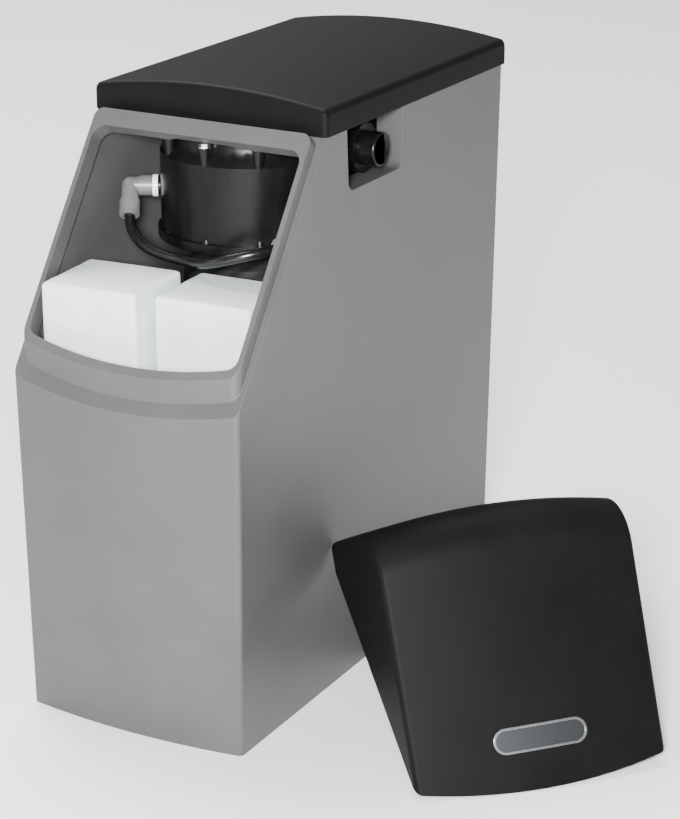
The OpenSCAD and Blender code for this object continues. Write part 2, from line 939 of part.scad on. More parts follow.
// Dial on top of the shaft, with a screwdriver slot and a pointer
dial_r = 17;
dial_h = 7;
dial_socket = 3;
module regeneration_dial() {
    slot = 3;
    color(fitting_grey)
        at_valve(valve_top + slip)
            difference() {
                union() {
                    cylinder(r = dial_r, h = dial_h);
                    translate([0, 0, slip])
                        linear_extrude(dial_h - 2 * slip)
                            polygon([[-5, dial_r - 2], [5, dial_r - 2], [0, dial_r + 6]]);
                }
                translate([0, 0, -1])
                    cylinder(r = shaft_r + fit, h = dial_socket + 1);
                translate([3 - dial_r, -slot / 2, dial_h - slot])
                    cube([2 * dial_r - 6, slot, slot + 1]);
            }
}

// Meter turbine: paddles that the inflow turns, and the pinion that drives the disc
module meter_turbine() {
    blades = 8;
    blade_t = 1.6;
    blade_z = gear_z + gear_t + 2;
    blade_h = valve_top - cap_roof - blade_z - 2;
    color(pipe_white)
        translate([turbine_at[0], turbine_at[1], 0])
            union() {
                translate([0, 0, cap_z - pivot_l])
                    cylinder(r = spindle_r, h = cap_h - cap_roof + 2 * pivot_l);
                translate([0, 0, gear_z])
                    rotate([0, 0, turbine_a + 180 + 180 / pinion_teeth])
                        linear_extrude(gear_t)
                            gear_shape(pinion_teeth);
                translate([0, 0, blade_z])
                    for (i = [0 : blades - 1])
                        rotate([0, 0, i * 360 / blades])
                            translate([0, -blade_t / 2, 0])
                                cube([turbine_r, blade_t, blade_h]);
            }
}

// Pipe port: spigot in the cap, neck, and a stub with a rolled lip
module pipe_port(out) {
    lip = 2;
    length = out - cap_boss_x;
    difference() {
        union() {
            along_x(cap_boss_x - port_spigot_l, port_y, port_z)
                cylinder(r = port_spigot_r, h = port_spigot_l + 2);
            along_x(cap_boss_x, port_y, port_z)
                rotate_extrude()
                    polygon([[0, 0], [port_r, 0], [port_r, length - lip],
                        [port_r - 0.3 * lip, length - 0.3 * lip], [port_r - lip, length], [0, length]]);
            children();
        }
        along_x(cap_boss_x - port_spigot_l - 1, port_y, port_z)
            cylinder(r = port_bore, h = cab_w);
        along_x(out - lip, port_y, port_z)
            cylinder(r1 = port_bore, r2 = port_r - lip, h = lip + 0.01);
        along_x(cap_boss_x - port_spigot_l / 2, port_y, port_z)
            o_groove(port_spigot_r);
    }
}

port_seal_s = 0.9;
module o_groove(r) {
    rotate_extrude()
        translate([r - 2 * port_seal_s, -port_seal_s - fit])
            square(2 * (port_seal_s + fit));
}

// Inlet: ends inside the recess, with a gripped collar
module inlet_port() {
    grips = 24;
    grip_r = 1.6;
    color(valve_black)
        pipe_port(port_out)
            along_x(cap_boss_x + 2, port_y, port_z)
                difference() {
                    cylinder(r = port_nut_r, h = port_nut_t);
                    for (i = [0 : grips - 1])
                        rotate([0, 0, i * 360 / grips])
                            translate([port_nut_r + 0.6, 0, 2])
                                cylinder(r = grip_r, h = port_nut_t, $fn = 16);
                }
}

// Outlet: goes straight through the other wall, with a flange outside it
module outlet_port() {
    color(valve_black)
        mirror([1, 0, 0])
            pipe_port(half_w(port_z) + port_past_wall)
                along_x(half_w(port_z + port_r) + lie, port_y, port_z)
                    cylinder(r = port_r + 5, h = port_flange_t);
}

module port_seals() {
    color("#111111")
        both_sides()
            along_x(cap_boss_x - port_spigot_l / 2, port_y, port_z)
                o_ring(port_spigot_r - port_seal_s, port_seal_s);
}

// Push-fit elbow: inlet leg along -Z, outlet leg along +X, corner at the origin
module push_elbow(inlet) {
    neck = elbow_r - elbow_step;
    sleeve = collet_l + 5;
    difference() {
        union() {
            sphere(neck);
            translate([0, 0, -inlet])
                cylinder(r = neck, h = inlet);
            translate([0, 0, -inlet])
                cylinder(r = elbow_r, h = 0.6 * inlet);
            rotate([0, 90, 0])
                cylinder(r = neck, h = elbow_leg);
            translate([elbow_leg - sleeve, 0, 0])
                rotate([0, 90, 0])
                    cylinder(r = elbow_r, h = sleeve);
        }
        rotate([0, 90, 0])
            cylinder(r = tube_bore, h = elbow_leg + 1);
        translate([elbow_leg - collet_l, 0, 0])
            rotate([0, 90, 0])
                cylinder(r = collet_r + fit, h = collet_l + 1);
        translate([0, 0, -inlet - 1])
            cylinder(r = tube_bore - 1, h = inlet + 1);
    }
}

module push_collet() {
    lip = 1.6;
    translate([elbow_leg - collet_l + 1, 0, 0])
        rotate([0, 90, 0])
            union() {
                tube(collet_r, tube_bore, collet_l - 1 + lip);
                translate([0, 0, collet_l - 1])
                    tube(collet_r + 1.4, tube_bore, lip);
            }
}

// Valve elbow: stem points back to the valve, outlet leg forwards and down
collar_l = 5;
module elbow_frame() {
    leg_a = elbow_dir;
    stem = [-sin(brine_a), -cos(brine_a), 0];
    third = cross(stem, leg_a);
    multmatrix([[leg_a[0], third[0], stem[0], elbow_at[0]], [leg_a[1], third[1], stem[1], elbow_at[1]],
        [leg_a[2], third[2], stem[2], elbow_at[2]], [0, 0, 0, 1]])
        children();
}

module brine_elbow() {
    body = elbow_corner - valve_r - 2 - collar_l;
    color(fitting_grey)
        elbow_frame()
            difference() {
                union() {
                    push_elbow(body);
                    translate([0, 0, -elbow_corner + valve_r - 11])
                        cylinder(r = elbow_stem_r, h = elbow_corner - valve_r);
                }
                translate([0, 0, -elbow_corner])
                    cylinder(r = tube_bore - 1, h = elbow_corner);
            }
}

module elbow_collar() {
    color("#f2f2ee")
        elbow_frame()
            translate([0, 0, valve_r + 2 - elbow_corner])
                tube(elbow_r + 0.6, elbow_stem_r + fit, collar_l);
}

module elbow_collet() {
    color(fitting_grey)
        elbow_frame()
            push_collet();
}

module at_well_elbow() {
    translate([well_at[0], well_at[1], well_elbow_z])
        rotate([0, 0, 180 + well_elbow_a])
            children();
}

module well_elbow() {
    top = floor_t + well_h + cap_t;
    color(fitting_grey)
        difference() {
            union() {
                at_well_elbow()
                    push_elbow(well_elbow_z - top);
                translate([well_at[0], well_at[1], top - cap_t - 6])
                    cylinder(r = elbow_stem_r, h = well_elbow_z - top);
            }
            translate([well_at[0], well_at[1], 0])
                cylinder(r = rod_r + fit, h = well_elbow_z);
        }
}

module well_collet() {
    color(fitting_grey)
        at_well_elbow()
            push_collet();
}

// Tube swept along its route
function unit(v) = v / norm(v);
function heading(i) = unit(ROUTE[min(i + 1, len(ROUTE) - 1)] - ROUTE[max(i - 1, 0)]);
function tube_ring(i) =
    let (t = heading(i), side = unit(cross(t, [0, 0, 1])), up = cross(side, t))
    [for (j = [0 : tube_sides - 1]) let (a = 360 * j / tube_sides)
        ROUTE[i] + tube_r * (side * cos(a) + up * sin(a))];

module brine_tube() {
    rings = [for (i = [len(ROUTE) - 1 : -1 : 0]) tube_ring(i)];
    color("#161616")
        polyhedron(flat_list(rings), loft_faces(len(rings), tube_sides));
}

// Brine well with slots at the foot
module at_well(z) {
    translate([well_at[0], well_at[1], z])
        children();
}

module brine_well() {
    slots = 6;
    slot_w = 4;
    slot_h = 30;
    color("#2a2a2b")
        difference() {
            at_well(floor_t)
                tube(well_r, well_r - well_wall, well_h);
            for (i = [0 : slots / 2 - 1])
                at_well(floor_t + 8)
                    rotate([0, 0, i * 360 / slots])
                        translate([-2 * well_r, -slot_w / 2, 0])
                            cube([4 * well_r, slot_w, slot_h]);
        }
}

module well_cap() {
    color("#2a2a2b")
        difference() {
            union() {
                at_well(floor_t + well_h)
                    cylinder(r = well_r + 2, h = cap_t);
                at_well(floor_t + well_h - 8)
                    cylinder(r = well_r - well_wall - fit, h = 8);
            }
            at_well(floor_t + well_h - 9)
                cylinder(r = elbow_stem_r + fit, h = cap_t + 10);
        }
}

// Rod that draws the brine, with two stops for the float
float_low = 60;
float_z = floor_t + cage_h + float_low;
module pickup_rod() {
    top = floor_t + well_h - 5;
    color(pipe_white)
        union() {
            at_well(floor_t + cage_h)
                cylinder(r = rod_r, h = top - floor_t - cage_h + 20);
            at_well(float_z - stop_t)
                cylinder(r = stop_r, h = stop_t);
            at_well(float_z + float_h + float_travel + lie)
                cylinder(r = stop_r, h = stop_t);
        }
}

module brine_float() {
    color(fitting_grey)
        at_well(float_z)
            tube(float_r, rod_r + lie, float_h);
}

module air_check_cage() {
    cage_r = 9;
    color(pipe_white)
        difference() {
            at_well(floor_t)
                cylinder(r = cage_r, h = cage_h);
            at_well(floor_t + 4)
                cylinder(r = ball_r + 1.5, h = cage_h - 12);
            for (a = [0, 90])
                at_well(floor_t + 6)
                    rotate([0, 0, a])
                        translate([-2 * cage_r, -2, 0])
                            cube([4 * cage_r, 4, 12]);
            at_well(floor_t + cage_h - 9)
                cylinder(r = rod_r - 1, h = 10);
        }
}

module air_check_ball() {
    color(steel)
        at_well(floor_t + 4 + ball_r)
            sphere(ball_r);
}

// Resin vessels: blow-moulded bottles with a foot ring and a neck
module vessel(r, neck) {
    dome = 20;
    top = vessel_top - floor_t;
    foot = vessel_foot;
    difference() {
        rotate_extrude($fn = 128)
            polygon([[0, foot], [r - 10, foot], [r - 10, 0], [r, 0], [r, top - dome], [r - dome, top],
                [neck, top], [neck, top + neck_h - 1], [0, top + neck_h - 1]]);
        rotate_extrude($fn = 128)
            polygon([[0, foot + vessel_t], [r - vessel_t, foot + vessel_t],
                [r - vessel_t, top - dome - vessel_t], [r - dome - vessel_t, top - vessel_t],
                [riser_r + 2, top - vessel_t], [riser_r + 2, top + neck_h], [0, top + neck_h]]);
    }
}

module at_front(z) {
    translate([0, valve_y, z])
        children();
}

module at_rear(z) {
    translate([0, rear_y, z])
        children();
}

module front_vessel() {
    color("#2c2c2e")
        at_front(floor_t)
            vessel(front_r, neck_r);
}

module rear_vessel() {
    color("#2c2c2e")
        at_rear(floor_t)
            vessel(rear_r, rear_head_r - 12);
}

vessel_foot = 14;
bed_low = floor_t + vessel_foot + vessel_t;
bed_headroom = 122;
bed_h = vessel_top - bed_low - bed_headroom;
strainer_r = 18;
strainer_h = 44;
module resin_bed(r) {
    color(resin_amber)
        difference() {
            cylinder(r = r - vessel_t - lie, h = bed_h);
            translate([0, 0, -1])
                cylinder(r = strainer_r + lie, h = strainer_h + 2 * lie + 1);
            cylinder(r = riser_r + lie, h = bed_h + 1);
        }
}

module front_resin_bed() {
    at_front(bed_low)
        resin_bed(front_r);
}

module rear_resin_bed() {
    at_rear(bed_low)
        resin_bed(rear_r);
}

module riser() {
    color(pipe_white)
        tube(riser_r, riser_r - 2.5, vessel_top + riser_socket - bed_low - strainer_h);
}

module front_riser() {
    at_front(bed_low + strainer_h)
        riser();
}

module rear_riser() {
    at_rear(bed_low + strainer_h)
        riser();
}

module strainer() {
    rows = 6;
    color(pipe_white)
        difference() {
            tube(strainer_r, riser_r - 2.5, strainer_h);
            for (i = [1 : rows])
                translate([0, 0, i * strainer_h / (rows + 1)])
                    rotate_extrude()
                        translate([strainer_r - 3, 0])
                            square([4, 1.5]);
        }
}

module front_strainer() {
    at_front(bed_low)
        strainer();
}

module rear_strainer() {
    at_rear(bed_low)
        strainer();
}

// Head of the rear vessel and the pair of tubes from the valve
module rear_vessel_head() {
    color(valve_black)
        difference() {
            union() {
                at_rear(valve_z)
                    cylinder(r = rear_head_r, h = rear_head_h);
                transfer_sockets(rear_y - rear_head_r - 4)
                    cylinder(r = transfer_r + 3, h = rear_head_r);
            }
            at_rear(valve_z - 1)
                cylinder(r = rear_head_r - 12 + fit, h = neck_h + 1);
            at_rear(valve_z)
                cylinder(r = riser_r + 2, h = riser_socket);
            transfer_sockets(rear_y - rear_head_r - 4 - 2 * socket_l)
                cylinder(r = transfer_r + fit, h = 3 * socket_l);
        }
}

module transfer_tubes() {
    y0 = valve_y + valve_r + 4 - socket_l;
    y1 = rear_y - rear_head_r - 4 + socket_l;
    color(valve_black)
        transfer_sockets(y0)
            tube(transfer_r, transfer_r - 3, y1 - y0);
}

// Barbed drain spigot on the back of the valve's base
drain_turn = 145;
drain_z = valve_z + 20;
drain_r = 7;
module drain_spigot() {
    barbs = 3;
    reach = 26;
    color(valve_black)
        translate([0, valve_y, drain_z])
            rotate([0, 0, drain_turn])
                rotate([0, 90, 0])
                    translate([0, 0, valve_r - 9])
                        difference() {
                            union() {
                                cylinder(r = drain_r, h = 12);
                                cylinder(r = drain_r - 1, h = reach);
                                for (i = [0 : barbs - 1])
                                    translate([0, 0, 13 + 4 * i])
                                        cylinder(r1 = drain_r + 0.6, r2 = drain_r - 1, h = 4);
                            }
                            translate([0, 0, -1])
                                cylinder(r = drain_r - 3, h = reach + 2);
                        }
}

// Overflow elbow through the back wall
module at_overflow() {
    translate([overflow_x, back_y(overflow_z), overflow_z])
        children();
}

overflow_flange = 4;
overflow_stem = 20;
washer_t = 1.5;
module overflow_elbow() {
    spigot = 25;
    body_r = overflow_r + 1.5;
    color(valve_black)
        at_overflow()
            difference() {
                union() {
                    along_y(0, -wall - pad_t - overflow_flange, 0)
                        cylinder(r = overflow_r + 6, h = overflow_flange);
                    along_y(0, -wall - pad_t - 1, 0)
                        cylinder(r = overflow_r, h = wall + pad_t + 1 + overflow_stem);
                    translate([0, overflow_stem, 0])
                        sphere(body_r);
                    translate([0, overflow_stem, -body_r])
                        cylinder(r = body_r, h = body_r);
                    translate([0, overflow_stem, -body_r - spigot])
                        cylinder(r = overflow_r, h = spigot);
                }
                along_y(0, -wall - pad_t - overflow_flange - 1, 0)
                    cylinder(r = overflow_r - 2.5, h = wall + pad_t + overflow_stem + overflow_flange + 1);
                translate([0, overflow_stem, -body_r - spigot - 1])
                    cylinder(r = overflow_r - 2.5, h = body_r + spigot + 1);
            }
}

module overflow_washer() {
    color("#111111")
        at_overflow()
            along_y(0, pad_t, 0)
                tube(overflow_r + 5, overflow_r + fit, washer_t);
}

module overflow_nut() {
    nut_h = 6;
    color(valve_black)
        at_overflow()
            along_y(0, pad_t + washer_t, 0)
                difference() {
                    cylinder(r = overflow_r + 6, h = nut_h, $fn = 6);
                    translate([0, 0, -1])
                        cylinder(r = overflow_r + fit, h = nut_h + 2);
                }
}

cabinet();
top_lid();
hatch_cover();
badge_plate();
salt_block_upper_left();
salt_block_upper_right();
salt_block_lower_left();
salt_block_lower_right();
salt_platform();
valve_cap();
valve_ring();
valve_base();
valve_bolts();
valve_seals();
control_disc();
regeneration_dial();
meter_turbine();
inlet_port();
outlet_port();
port_seals();
brine_elbow();
elbow_collar();
elbow_collet();
brine_tube();
well_elbow();
well_collet();
brine_well();
well_cap();
pickup_rod();
brine_float();
air_check_cage();
air_check_ball();
front_vessel();
rear_vessel();
front_resin_bed();
rear_resin_bed();
front_riser();
rear_riser();
front_strainer();
rear_strainer();
rear_vessel_head();
transfer_tubes();
drain_spigot();
overflow_elbow();
overflow_nut();
overflow_washer();
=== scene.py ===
# %% [markdown]
# A block-salt water softener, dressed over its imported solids.
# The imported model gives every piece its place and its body. This lesson adds what a camera
# sees: soft moulded edges, real plastics, pressed salt, plated bolts and a hanging tube.

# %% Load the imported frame
import json
import math
import bmesh
import bpy
from mathutils import Matrix, Vector, noise


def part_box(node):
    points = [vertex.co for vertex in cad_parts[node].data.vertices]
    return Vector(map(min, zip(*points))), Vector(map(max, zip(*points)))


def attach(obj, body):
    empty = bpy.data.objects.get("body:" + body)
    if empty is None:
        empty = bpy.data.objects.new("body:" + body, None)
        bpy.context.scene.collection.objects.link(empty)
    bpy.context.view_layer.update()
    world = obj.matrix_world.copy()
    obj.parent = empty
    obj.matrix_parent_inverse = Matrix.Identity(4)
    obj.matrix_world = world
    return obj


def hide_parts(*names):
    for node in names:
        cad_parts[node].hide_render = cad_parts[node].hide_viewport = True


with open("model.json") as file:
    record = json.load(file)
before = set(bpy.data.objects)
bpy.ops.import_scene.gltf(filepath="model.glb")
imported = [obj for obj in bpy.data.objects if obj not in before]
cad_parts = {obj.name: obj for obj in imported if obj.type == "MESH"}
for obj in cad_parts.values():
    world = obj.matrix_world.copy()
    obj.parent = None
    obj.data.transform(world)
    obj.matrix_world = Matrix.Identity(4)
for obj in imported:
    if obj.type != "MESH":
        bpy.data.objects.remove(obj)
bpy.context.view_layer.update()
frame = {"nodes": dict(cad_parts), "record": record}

MM = 0.001
nodes = frame["nodes"]
body_of = {n: b for b, ns in frame["record"]["behaviour"]["bodies"].items() for n in ns}
slot_of = {s["node"]: s["material_slot"] for s in frame["record"]["subparts"]}

# %% [markdown]
# The camera stands at the front right, a little above the lid. Its place and its long lens
# were solved from the cabinet's own straight edges, so the solids fall on the photograph's.

# %% Camera
eye = Vector((1.0655, -1.7939, 0.9846))
aim = Vector((0.0017, 0.1288, 0.1821))
camera_data = bpy.data.cameras.new("camera")
camera_data.sensor_fit = "VERTICAL"
camera_data.sensor_height = 36.0
camera_data.lens = 104.36
camera = bpy.data.objects.new("camera", camera_data)
camera.location = eye
camera.rotation_euler = (aim - eye).to_track_quat("-Z", "Y").to_euler()
bpy.context.scene.collection.objects.link(camera)
bpy.context.scene.camera = camera
print("camera distance:", round((aim - eye).length, 3))

# %% [markdown]
# A few small tools come before the finishes. One turns a hex colour into the linear numbers
# that shaders mix. One adds a shader node with its settings and its links. One starts a new
# material, and the last turns a size in millimetres into a pattern's scale.

# %% Colour and node tools
def paint(code):
    parts = [int(code[i:i + 2], 16) / 255 for i in (1, 3, 5)]
    lin = [c / 12.92 if c <= 0.04045 else ((c + 0.055) / 1.055) ** 2.4 for c in parts]
    return (*lin, 1.0)


def put(tree, kind, inputs=None, **settings):
    node = tree.nodes.new(kind)
    for key, value in settings.items():
        setattr(node, key, value)
    for socket, value in (inputs or {}).items():
        if isinstance(value, bpy.types.NodeSocket):
            tree.links.new(value, node.inputs[socket])
        else:
            node.inputs[socket].default_value = value
    return node


def new_finish(name):
    material = bpy.data.materials.new(name)
    material.use_nodes = True
    tree = material.node_tree
    shader = tree.nodes["Principled BSDF"]
    place = put(tree, "ShaderNodeTexCoord").outputs["Object"]
    return material, tree, shader, place


def per_mm(size):
    return 1000.0 / size


print("linear mid grey:", [round(c, 3) for c in paint("#808080")])

# %% [markdown]
# The cabinet is moulded polyethylene: satin, with a fine orange-peel skin and very slight
# cloudiness in the grey. The grain is drawn a little coarser than the real one so that it
# shows, and it gives the broad soft highlights.

# %% Moulded grey polyethylene
cloud_width, peel_width, grain_width = 90, 7, 1.2
grey_polyethylene, tree, shader, place = new_finish("moulded_grey_polyethylene")
cloud = put(tree, "ShaderNodeTexNoise", {
    "Vector": place, "Scale": per_mm(cloud_width), "Detail": 4.0, "Roughness": 0.6})
tint = put(tree, "ShaderNodeValToRGB", {"Fac": cloud.outputs["Fac"]})
tint.color_ramp.elements[0].position = 0.3
tint.color_ramp.elements[0].color = paint("#424242")
tint.color_ramp.elements[1].position = 0.7
tint.color_ramp.elements[1].color = paint("#4a4a4a")
grain = put(tree, "ShaderNodeTexNoise", {
    "Vector": place, "Scale": per_mm(grain_width), "Detail": 3.0})
peel = put(tree, "ShaderNodeTexNoise", {
    "Vector": place, "Scale": per_mm(peel_width), "Detail": 2.0})
skin_height = put(tree, "ShaderNodeMath", {
    0: grain.outputs["Fac"], 1: peel.outputs["Fac"]}, operation="ADD")
bump = put(tree, "ShaderNodeBump", {
    "Height": skin_height.outputs[0], "Strength": 0.12, "Distance": 0.4 * MM})
satin = put(tree, "ShaderNodeMapRange", {
    "Value": cloud.outputs["Fac"], "To Min": 0.4, "To Max": 0.5})
tree.links.new(tint.outputs["Color"], shader.inputs["Base Color"])
tree.links.new(satin.outputs[0], shader.inputs["Roughness"])
tree.links.new(bump.outputs[0], shader.inputs["Normal"])
shader.inputs["IOR"].default_value = 1.51
print("finish:", grey_polyethylene.name)

# %% [markdown]
# The lid and the hatch cover are the same family of plastic in charcoal. A dark part shows
# its skin more than its colour, so the grain is stronger and the gloss varies in patches.
# The grain breaks up most of the mirror light, so the specular level is low.

# %% Moulded charcoal polyethylene
cloud_width, grain_width = 60, 1.4
charcoal, tree, shader, place = new_finish("moulded_charcoal_polyethylene")
cloud = put(tree, "ShaderNodeTexNoise", {
    "Vector": place, "Scale": per_mm(cloud_width), "Detail": 5.0, "Roughness": 0.6})
tint = put(tree, "ShaderNodeValToRGB", {"Fac": cloud.outputs["Fac"]})
tint.color_ramp.elements[0].position = 0.3
tint.color_ramp.elements[0].color = paint("#090909")
tint.color_ramp.elements[1].position = 0.75
tint.color_ramp.elements[1].color = paint("#0f0f10")
grain = put(tree, "ShaderNodeTexNoise", {
    "Vector": place, "Scale": per_mm(grain_width), "Detail": 4.0, "Roughness": 0.65})
bump = put(tree, "ShaderNodeBump", {
    "Height": grain.outputs["Fac"], "Strength": 0.3, "Distance": 0.4 * MM})
satin = put(tree, "ShaderNodeMapRange", {
    "Value": cloud.outputs["Fac"], "To Min": 0.5, "To Max": 0.62})
tree.links.new(tint.outputs["Color"], shader.inputs["Base Color"])
tree.links.new(satin.outputs[0], shader.inputs["Roughness"])
tree.links.new(bump.outputs[0], shader.inputs["Normal"])
shader.inputs["IOR"].default_value = 1.5
shader.inputs["Specular IOR Level"].default_value = 0.08
print("finish:", charcoal.name)

# %% [markdown]
# Pressed salt is made of packed crystals. Light goes a few millimetres in and comes out
# softer, so it gets a little scattering. Crystals about 1.6 mm across pit the faces and
# each has a gloss of its own.

# %% Pressed salt
cloud_width, pit_width, crystal_width = 30, 6, 1.6
pressed_salt, tree, shader, place = new_finish("pressed_salt")
cloud = put(tree, "ShaderNodeTexNoise", {
    "Vector": place, "Scale": per_mm(cloud_width), "Detail": 5.0, "Roughness": 0.65})
tint = put(tree, "ShaderNodeValToRGB", {"Fac": cloud.outputs["Fac"]})
tint.color_ramp.elements[0].position = 0.3
tint.color_ramp.elements[0].color = paint("#d2e0da")
tint.color_ramp.elements[1].position = 0.72
tint.color_ramp.elements[1].color = paint("#e3ebe8")
crystal = put(tree, "ShaderNodeTexVoronoi", {"Vector": place, "Scale": per_mm(crystal_width)})
pit = put(tree, "ShaderNodeTexNoise", {
    "Vector": place, "Scale": per_mm(pit_width), "Detail": 6.0, "Roughness": 0.7})
skin_height = put(tree, "ShaderNodeMath", {
    0: crystal.outputs["Distance"], 1: pit.outputs["Fac"]}, operation="ADD")
bump = put(tree, "ShaderNodeBump", {
    "Height": skin_height.outputs[0], "Strength": 0.25, "Distance": 0.5 * MM})
glint = put(tree, "ShaderNodeMapRange", {
    "Value": crystal.outputs["Color"], "To Min": 0.35, "To Max": 0.75})
tree.links.new(tint.outputs["Color"], shader.inputs["Base Color"])
tree.links.new(glint.outputs[0], shader.inputs["Roughness"])
tree.links.new(bump.outputs[0], shader.inputs["Normal"])
shader.inputs["IOR"].default_value = 1.54
shader.inputs["Subsurface Weight"].default_value = 0.35
shader.inputs["Subsurface Radius"].default_value = (1.0, 1.0, 1.0)
shader.inputs["Subsurface Scale"].default_value = 3 * MM
print("finish:", pressed_salt.name)

# %% [markdown]
# The valve is injection-moulded, glass-filled nylon. Short glass fibres leave faint upright
# streaks and an uneven gloss on black. They are drawn coarser than real fibres so that they
# show.

# %% Glass-filled nylon
streak_width, fibre_width = 9, 1.5
upright = (1.0, 1.0, 0.25)
glass_nylon, tree, shader, place = new_finish("glass_filled_black_nylon")
stretch = put(tree, "ShaderNodeMapping", {"Vector": place, "Scale": upright})
streak = put(tree, "ShaderNodeTexNoise", {
    "Vector": stretch.outputs[0], "Scale": per_mm(streak_width), "Detail": 5.0})
tint = put(tree, "ShaderNodeValToRGB", {"Fac": streak.outputs["Fac"]})
tint.color_ramp.elements[0].position = 0.35
tint.color_ramp.elements[0].color = paint("#090909")
tint.color_ramp.elements[1].position = 0.75
tint.color_ramp.elements[1].color = paint("#0f0f10")
fibre = put(tree, "ShaderNodeTexNoise", {
    "Vector": stretch.outputs[0], "Scale": per_mm(fibre_width), "Detail": 3.0})
bump = put(tree, "ShaderNodeBump", {
    "Height": fibre.outputs["Fac"], "Strength": 0.15, "Distance": 0.3 * MM})
gloss = put(tree, "ShaderNodeMapRange", {
    "Value": streak.outputs["Fac"], "To Min": 0.24, "To Max": 0.42})
tree.links.new(tint.outputs["Color"], shader.inputs["Base Color"])
tree.links.new(gloss.outputs[0], shader.inputs["Roughness"])
tree.links.new(bump.outputs[0], shader.inputs["Normal"])
shader.inputs["IOR"].default_value = 1.53
shader.inputs["Specular IOR Level"].default_value = 0.17
print("finish:", glass_nylon.name)

# %% [markdown]
# The clamping bolts are zinc-plated steel: bright and slightly cool, with duller patches
# where the plating has aged.

# %% Zinc-plated steel
patch_width = 3
zinc_steel, tree, shader, place = new_finish("zinc_plated_steel")
patch = put(tree, "ShaderNodeTexNoise", {
    "Vector": place, "Scale": per_mm(patch_width), "Detail": 4.0})
tint = put(tree, "ShaderNodeValToRGB", {"Fac": patch.outputs["Fac"]})
tint.color_ramp.elements[0].color = paint("#a9adb0")
tint.color_ramp.elements[1].color = paint("#d6d7d6")
gloss = put(tree, "ShaderNodeMapRange", {
    "Value": patch.outputs["Fac"], "To Min": 0.18, "To Max": 0.4})
tree.links.new(tint.outputs["Color"], shader.inputs["Base Color"])
tree.links.new(gloss.outputs[0], shader.inputs["Roughness"])
shader.inputs["Metallic"].default_value = 1.0
print("finish:", zinc_steel.name)

# %% [markdown]
# The small pieces are smooth: pale grey polypropylene for the elbows, white acetal for the
# ring behind the elbow and the gears, black polyethylene for the tube, and nitrile rubber
# for the seals, which is the dullest. All four have a faint ripple from the mould or die.

# %% Fitting plastics
def smooth_plastic(name, dark, light, low, high, ripple_width=4):
    material, tree, shader, place = new_finish(name)
    ripple = put(tree, "ShaderNodeTexNoise", {
        "Vector": place, "Scale": per_mm(ripple_width), "Detail": 3.0})
    tint = put(tree, "ShaderNodeValToRGB", {"Fac": ripple.outputs["Fac"]})
    tint.color_ramp.elements[0].position = 0.3
    tint.color_ramp.elements[0].color = paint(dark)
    tint.color_ramp.elements[1].position = 0.7
    tint.color_ramp.elements[1].color = paint(light)
    bump = put(tree, "ShaderNodeBump", {
        "Height": ripple.outputs["Fac"], "Strength": 0.08, "Distance": 0.3 * MM})
    gloss = put(tree, "ShaderNodeMapRange", {
        "Value": ripple.outputs["Fac"], "To Min": low, "To Max": high})
    tree.links.new(tint.outputs["Color"], shader.inputs["Base Color"])
    tree.links.new(gloss.outputs[0], shader.inputs["Roughness"])
    tree.links.new(bump.outputs[0], shader.inputs["Normal"])
    shader.inputs["IOR"].default_value = 1.49
    return material


grey_polypropylene = smooth_plastic("grey_polypropylene", "#5c5c5b", "#686867", 0.28, 0.4)
white_acetal = smooth_plastic("white_acetal", "#e6e6e2", "#f3f3ef", 0.22, 0.34)
black_polyethylene = smooth_plastic("extruded_black_polyethylene", "#0b0b0b", "#141414", 0.2, 0.3)
nitrile_rubber = smooth_plastic("nitrile_rubber", "#0c0c0c", "#161616", 0.55, 0.7)
for finish in (grey_polypropylene, white_acetal, black_polyethylene, nitrile_rubber):
    print("finish:", finish.name)

# %% [markdown]
# The badge place is a thin aluminium plate, left bare. Its brushing runs along the plate,
# which stands turned by 45 degrees, so the noise is turned and stretched that way. The rim
# is satin and bright, and the field inside it is duller.

# %% Brushed aluminium
def brushed_aluminium(name, dark, light, low, high, brush_width=0.5):
    material, tree, shader, place = new_finish(name)
    turned = put(tree, "ShaderNodeMapping", {
        "Vector": place, "Rotation": (0.0, 0.0, math.radians(-45)), "Scale": (0.04, 1.0, 1.0)})
    brush = put(tree, "ShaderNodeTexNoise", {
        "Vector": turned.outputs[0], "Scale": per_mm(brush_width), "Detail": 2.0})
    tint = put(tree, "ShaderNodeValToRGB", {"Fac": brush.outputs["Fac"]})
    tint.color_ramp.elements[0].color = paint(dark)
    tint.color_ramp.elements[1].color = paint(light)
    gloss = put(tree, "ShaderNodeMapRange", {
        "Value": brush.outputs["Fac"], "To Min": low, "To Max": high})
    tree.links.new(tint.outputs["Color"], shader.inputs["Base Color"])
    tree.links.new(gloss.outputs[0], shader.inputs["Roughness"])
    shader.inputs["Metallic"].default_value = 1.0
    return material


satin_aluminium = brushed_aluminium("satin_anodised_aluminium", "#a4a6a8", "#c6c8ca", 0.22, 0.34)
dull_aluminium = brushed_aluminium("dull_anodised_aluminium", "#3f4144", "#4c4e50", 0.4, 0.52)
print("finishes:", satin_aluminium.name, dull_aluminium.name)

# %% [markdown]
# The resin vessels are plastic bottles wound with glass fibre: black, with leaning bands of
# strands under a clear coat. The resin inside is a bed of amber beads under 1 mm across.

